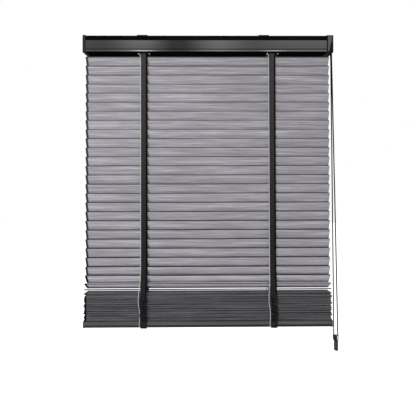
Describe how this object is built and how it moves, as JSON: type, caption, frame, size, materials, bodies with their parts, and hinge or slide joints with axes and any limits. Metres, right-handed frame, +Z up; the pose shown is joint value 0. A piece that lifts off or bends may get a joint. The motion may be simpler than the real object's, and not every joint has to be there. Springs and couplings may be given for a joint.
{
  "type": "wooden venetian blind",
  "caption": "Wooden slat blind on woven ladder tapes under a black headrail, partly raised, with a looped operating cord and its weight on the right.",
  "frame": {"origin": "midway between the two bracket screws, on the face the brackets are fixed to", "axes": "+X to the right as seen from the room, -Y towards the room, +Z up"},
  "size_m": [0.5808, 0.0336, 0.7179],
  "materials": {
    "rail_paint": "satin black paint on folded steel",
    "cap_plastic": "satin black moulded plastic",
    "bracket_steel": "black painted steel",
    "inner_plastic": "plain black moulded plastic",
    "shaft_steel": "plain drawn steel",
    "slat_wood": "stained grey with the grain along the slat",
    "rail_wood": "painted charcoal",
    "tape": "black woven tape",
    "lift_cord": "light grey braided cord",
    "cord": "black braided cord",
    "black_plastic": "black moulded plastic",
    "white_plastic": "white moulded plastic"
  },
  "bodies": {
    "root": {"headrail": "rail_paint", "left_end_cap": "cap_plastic", "control_housing": "cap_plastic", "mounting_brackets": "bracket_steel", "ladder_cradles": "inner_plastic", "ladder_tape_left": "tape", "ladder_tape_right": "tape", "lift_cords_left": "lift_cord", "lift_cords_right": "lift_cord", "operating_cord_front": "cord", "operating_cord_back": "cord", "joiner_socket": "black_plastic", "joiner_plug": "white_plastic", "cord_weight": "black_plastic"},
    "drive_train": {"drive_shaft": "shaft_steel", "lift_spools": "inner_plastic", "shaft_gear": "inner_plastic"},
    "pulley": {"cord_pulley": "inner_plastic"},
    "tilt_drums": {"tilt_drums": "inner_plastic"},
    "bottom_rail": {"bottom_rail": "rail_wood", "bottom_rail_plugs": "cap_plastic"},
    "slat_01": {"slat_01": "slat_wood"},
    "slat_02": {"slat_02": "slat_wood"},
    "slat_03": {"slat_03": "slat_wood"},
    "slat_04": {"slat_04": "slat_wood"},
    "slat_05": {"slat_05": "slat_wood"},
    "slat_06": {"slat_06": "slat_wood"},
    "slat_07": {"slat_07": "slat_wood"},
    "slat_08": {"slat_08": "slat_wood"},
    "slat_09": {"slat_09": "slat_wood"},
    "slat_10": {"slat_10": "slat_wood"},
    "slat_11": {"slat_11": "slat_wood"},
    "slat_12": {"slat_12": "slat_wood"},
    "slat_13": {"slat_13": "slat_wood"},
    "slat_14": {"slat_14": "slat_wood"},
    "slat_15": {"slat_15": "slat_wood"},
    "slat_16": {"slat_16": "slat_wood"},
    "slat_17": {"slat_17": "slat_wood"},
    "slat_18": {"slat_18": "slat_wood"},
    "slat_19": {"slat_19": "slat_wood"},
    "slat_20": {"slat_20": "slat_wood"},
    "slat_21": {"slat_21": "slat_wood"},
    "slat_22": {"slat_22": "slat_wood"},
    "slat_23": {"slat_23": "slat_wood"},
    "slat_24": {"slat_24": "slat_wood"},
    "slat_25": {"slat_25": "slat_wood"},
    "slat_26": {"slat_26": "slat_wood"},
    "slat_27": {"slat_27": "slat_wood"},
    "slat_28": {"slat_28": "slat_wood"},
    "slat_29": {"slat_29": "slat_wood"},
    "slat_30": {"slat_30": "slat_wood"},
    "slat_31": {"slat_31": "slat_wood"},
    "slat_32": {"slat_32": "slat_wood"},
    "slat_33": {"slat_33": "slat_wood"},
    "slat_34": {"slat_34": "slat_wood"},
    "slat_35": {"slat_35": "slat_wood"},
    "slat_36": {"slat_36": "slat_wood"},
    "slat_37": {"slat_37": "slat_wood"},
    "slat_38": {"slat_38": "slat_wood"},
    "slat_39": {"slat_39": "slat_wood"}
  },
  "joints": [
    {"name": "bottom_rail_lift", "type": "slide", "parent": "root", "child": "bottom_rail", "axis": [0, 0, 1], "range_m": [-0.221, 0], "deforming": ["ladder_tape_left", "ladder_tape_right", "lift_cords_left", "lift_cords_right"]},
    {"name": "slat_tilt", "type": "hinge", "parent": "root", "child": "tilt_drums", "pos_m": [0.012, 0, -0.0266], "axis": [1, 0, 0], "range_deg": [0, 144]},
    {"name": "shaft_turn", "type": "hinge", "parent": "root", "child": "drive_train", "pos_m": [0.012, 0, -0.0266], "axis": [1, 0, 0], "range_deg": [0, 1707.5]},
    {"name": "pulley_turn", "type": "hinge", "parent": "root", "child": "pulley", "pos_m": [0.2932, -0.0088, -0.0266], "axis": [1, 0, 0], "range_deg": [-2987.4, 0]},
    {"name": "slat_01_tilt", "type": "hinge", "parent": "root", "child": "slat_01", "pos_m": [0.012, 0, -0.0575], "axis": [1, 0, 0], "range_deg": [0, 144.5]},
    {"name": "slat_02_tilt", "type": "hinge", "parent": "root", "child": "slat_02", "pos_m": [0.012, 0, -0.0785], "axis": [1, 0, 0], "range_deg": [0, 144.5]},
    {"name": "slat_03_tilt", "type": "hinge", "parent": "root", "child": "slat_03", "pos_m": [0.012, 0, -0.0995], "axis": [1, 0, 0], "range_deg": [0, 144.5]},
    {"name": "slat_04_tilt", "type": "hinge", "parent": "root", "child": "slat_04", "pos_m": [0.012, 0, -0.1205], "axis": [1, 0, 0], "range_deg": [0, 144.5]},
    {"name": "slat_05_tilt", "type": "hinge", "parent": "root", "child": "slat_05", "pos_m": [0.012, 0, -0.1415], "axis": [1, 0, 0], "range_deg": [0, 144.5]},
    {"name": "slat_06_tilt", "type": "hinge", "parent": "root", "child": "slat_06", "pos_m": [0.012, 0, -0.1625], "axis": [1, 0, 0], "range_deg": [0, 144.5]},
    {"name": "slat_07_tilt", "type": "hinge", "parent": "root", "child": "slat_07", "pos_m": [0.012, 0, -0.1835], "axis": [1, 0, 0], "range_deg": [0, 144.5]},
    {"name": "slat_08_tilt", "type": "hinge", "parent": "root", "child": "slat_08", "pos_m": [0.012, 0, -0.2045], "axis": [1, 0, 0], "range_deg": [0, 144.5]},
    {"name": "slat_09_tilt", "type": "hinge", "parent": "root", "child": "slat_09", "pos_m": [0.012, 0, -0.2255], "axis": [1, 0, 0], "range_deg": [0, 144.5]},
    {"name": "slat_10_tilt", "type": "hinge", "parent": "root", "child": "slat_10", "pos_m": [0.012, 0, -0.2465], "axis": [1, 0, 0], "range_deg": [0, 144.5]},
    {"name": "slat_11_tilt", "type": "hinge", "parent": "root", "child": "slat_11", "pos_m": [0.012, 0, -0.2675], "axis": [1, 0, 0], "range_deg": [0, 144.5]},
    {"name": "slat_12_tilt", "type": "hinge", "parent": "root", "child": "slat_12", "pos_m": [0.012, 0, -0.2885], "axis": [1, 0, 0], "range_deg": [0, 144.5]},
    {"name": "slat_13_tilt", "type": "hinge", "parent": "root", "child": "slat_13", "pos_m": [0.012, 0, -0.3095], "axis": [1, 0, 0], "range_deg": [0, 144.5]},
    {"name": "slat_14_tilt", "type": "hinge", "parent": "root", "child": "slat_14", "pos_m": [0.012, 0, -0.3305], "axis": [1, 0, 0], "range_deg": [0, 144.5]},
    {"name": "slat_15_tilt", "type": "hinge", "parent": "root", "child": "slat_15", "pos_m": [0.012, 0, -0.3515], "axis": [1, 0, 0], "range_deg": [0, 144.5]},
    {"name": "slat_16_tilt", "type": "hinge", "parent": "root", "child": "slat_16", "pos_m": [0.012, 0, -0.3725], "axis": [1, 0, 0], "range_deg": [0, 144.5]},
    {"name": "slat_17_tilt", "type": "hinge", "parent": "root", "child": "slat_17", "pos_m": [0.012, 0, -0.3935], "axis": [1, 0, 0], "range_deg": [0, 144.5]},
    {"name": "slat_18_tilt", "type": "hinge", "parent": "root", "child": "slat_18", "pos_m": [0.012, 0, -0.4145], "axis": [1, 0, 0], "range_deg": [0, 144.5]},
    {"name": "slat_19_tilt", "type": "hinge", "parent": "root", "child": "slat_19", "pos_m": [0.012, 0, -0.4355], "axis": [1, 0, 0], "range_deg": [0, 144.5]},
    {"name": "slat_20_tilt", "type": "hinge", "parent": "root", "child": "slat_20", "pos_m": [0.012, 0, -0.4565], "axis": [1, 0, 0], "range_deg": [0, 144.5]},
    {"name": "slat_21_tilt", "type": "hinge", "parent": "root", "child": "slat_21", "pos_m": [0.012, 0, -0.4775], "axis": [1, 0, 0], "range_deg": [0, 144.5]},
    {"name": "slat_22_tilt", "type": "hinge", "parent": "root", "child": "slat_22", "pos_m": [0.012, 0, -0.4985], "axis": [1, 0, 0], "range_deg": [0, 144.5]},
    {"name": "slat_23_tilt", "type": "hinge", "parent": "root", "child": "slat_23", "pos_m": [0.012, 0, -0.5195], "axis": [1, 0, 0], "range_deg": [0, 144.5]},
    {"name": "slat_24_tilt", "type": "hinge", "parent": "root", "child": "slat_24", "pos_m": [0.012, 0, -0.5405], "axis": [1, 0, 0], "range_deg": [0, 144.5]},
    {"name": "slat_25_tilt", "type": "hinge", "parent": "root", "child": "slat_25", "pos_m": [0.012, 0, -0.5586], "axis": [1, 0, 0], "range_deg": [0, 120.5]},
    {"name": "slat_26_tilt", "type": "hinge", "parent": "root", "child": "slat_26", "pos_m": [0.012, 0, -0.574], "axis": [1, 0, 0], "range_deg": [0, 88.5]},
    {"name": "slat_27_tilt", "type": "hinge", "parent": "root", "child": "slat_27", "pos_m": [0.012, 0, -0.5828], "axis": [1, 0, 0], "range_deg": [0, 48.5]},
    {"name": "slat_28_tilt", "type": "hinge", "parent": "root", "child": "slat_28", "pos_m": [0.012, 0, -0.5896], "axis": [1, 0, 0], "range_deg": [0, 18.5]},
    {"name": "slat_29_slide", "type": "slide", "parent": "root", "child": "slat_29", "axis": [0, 0, 1], "range_m": [-0.0187, 0]},
    {"name": "slat_30_slide", "type": "slide", "parent": "root", "child": "slat_30", "axis": [0, 0, 1], "range_m": [-0.0369, 0]},
    {"name": "slat_31_slide", "type": "slide", "parent": "root", "child": "slat_31", "axis": [0, 0, 1], "range_m": [-0.0551, 0]},
    {"name": "slat_32_slide", "type": "slide", "parent": "root", "child": "slat_32", "axis": [0, 0, 1], "range_m": [-0.0733, 0]},
    {"name": "slat_33_slide", "type": "slide", "parent": "root", "child": "slat_33", "axis": [0, 0, 1], "range_m": [-0.0915, 0]},
    {"name": "slat_34_slide", "type": "slide", "parent": "root", "child": "slat_34", "axis": [0, 0, 1], "range_m": [-0.1097, 0]},
    {"name": "slat_35_slide", "type": "slide", "parent": "root", "child": "slat_35", "axis": [0, 0, 1], "range_m": [-0.1279, 0]},
    {"name": "slat_36_slide", "type": "slide", "parent": "root", "child": "slat_36", "axis": [0, 0, 1], "range_m": [-0.1461, 0]},
    {"name": "slat_37_slide", "type": "slide", "parent": "root", "child": "slat_37", "axis": [0, 0, 1], "range_m": [-0.1643, 0]},
    {"name": "slat_38_slide", "type": "slide", "parent": "root", "child": "slat_38", "axis": [0, 0, 1], "range_m": [-0.1825, 0]},
    {"name": "slat_39_slide", "type": "slide", "parent": "root", "child": "slat_39", "axis": [0, 0, 1], "range_m": [-0.2007, 0]}
  ],
  "couplings": [
    {"joint": "shaft_turn", "follows": "bottom_rail_lift", "rad_per_m": -134.77},
    {"joint": "pulley_turn", "follows": "bottom_rail_lift", "rad_per_m": 235.85},
    {"joint": "slat_01_tilt", "follows": "slat_tilt", "ratio": 1},
    {"joint": "slat_02_tilt", "follows": "slat_tilt", "ratio": 1},
    {"joint": "slat_03_tilt", "follows": "slat_tilt", "ratio": 1},
    {"joint": "slat_04_tilt", "follows": "slat_tilt", "ratio": 1},
    {"joint": "slat_05_tilt", "follows": "slat_tilt", "ratio": 1},
    {"joint": "slat_06_tilt", "follows": "slat_tilt", "ratio": 1},
    {"joint": "slat_07_tilt", "follows": "slat_tilt", "ratio": 1},
    {"joint": "slat_08_tilt", "follows": "slat_tilt", "ratio": 1},
    {"joint": "slat_09_tilt", "follows": "slat_tilt", "ratio": 1},
    {"joint": "slat_10_tilt", "follows": "slat_tilt", "ratio": 1},
    {"joint": "slat_11_tilt", "follows": "slat_tilt", "ratio": 1},
    {"joint": "slat_12_tilt", "follows": "slat_tilt", "ratio": 1},
    {"joint": "slat_13_tilt", "follows": "slat_tilt", "ratio": 1},
    {"joint": "slat_14_tilt", "follows": "slat_tilt", "ratio": 1},
    {"joint": "slat_15_tilt", "follows": "slat_tilt", "ratio": 1},
    {"joint": "slat_16_tilt", "follows": "slat_tilt", "ratio": 1},
    {"joint": "slat_17_tilt", "follows": "slat_tilt", "ratio": 1},
    {"joint": "slat_18_tilt", "follows": "slat_tilt", "ratio": 1},
    {"joint": "slat_19_tilt", "follows": "slat_tilt", "ratio": 1},
    {"joint": "slat_20_tilt", "follows": "slat_tilt", "ratio": 1},
    {"joint": "slat_21_tilt", "follows": "slat_tilt", "ratio": 1},
    {"joint": "slat_22_tilt", "follows": "slat_tilt", "ratio": 1},
    {"joint": "slat_23_tilt", "follows": "slat_tilt", "ratio": 1},
    {"joint": "slat_24_tilt", "follows": "slat_tilt", "ratio": 1},
    {"joint": "slat_25_tilt", "follows": "slat_tilt", "ratio": 0.83333},
    {"joint": "slat_26_tilt", "follows": "slat_tilt", "ratio": 0.61111},
    {"joint": "slat_27_tilt", "follows": "slat_tilt", "ratio": 0.33333},
    {"joint": "slat_28_tilt", "follows": "slat_tilt", "ratio": 0.125},
    {"joint": "slat_29_slide", "follows": "bottom_rail_lift", "ratio": 0.082353},
    {"joint": "slat_30_slide", "follows": "bottom_rail_lift", "ratio": 0.16471},
    {"joint": "slat_31_slide", "follows": "bottom_rail_lift", "ratio": 0.24706},
    {"joint": "slat_32_slide", "follows": "bottom_rail_lift", "ratio": 0.32941},
    {"joint": "slat_33_slide", "follows": "bottom_rail_lift", "ratio": 0.41176},
    {"joint": "slat_34_slide", "follows": "bottom_rail_lift", "ratio": 0.49412},
    {"joint": "slat_35_slide", "follows": "bottom_rail_lift", "ratio": 0.57647},
    {"joint": "slat_36_slide", "follows": "bottom_rail_lift", "ratio": 0.65882},
    {"joint": "slat_37_slide", "follows": "bottom_rail_lift", "ratio": 0.74118},
    {"joint": "slat_38_slide", "follows": "bottom_rail_lift", "ratio": 0.82353},
    {"joint": "slat_39_slide", "follows": "bottom_rail_lift", "ratio": 0.90588}
  ]
}
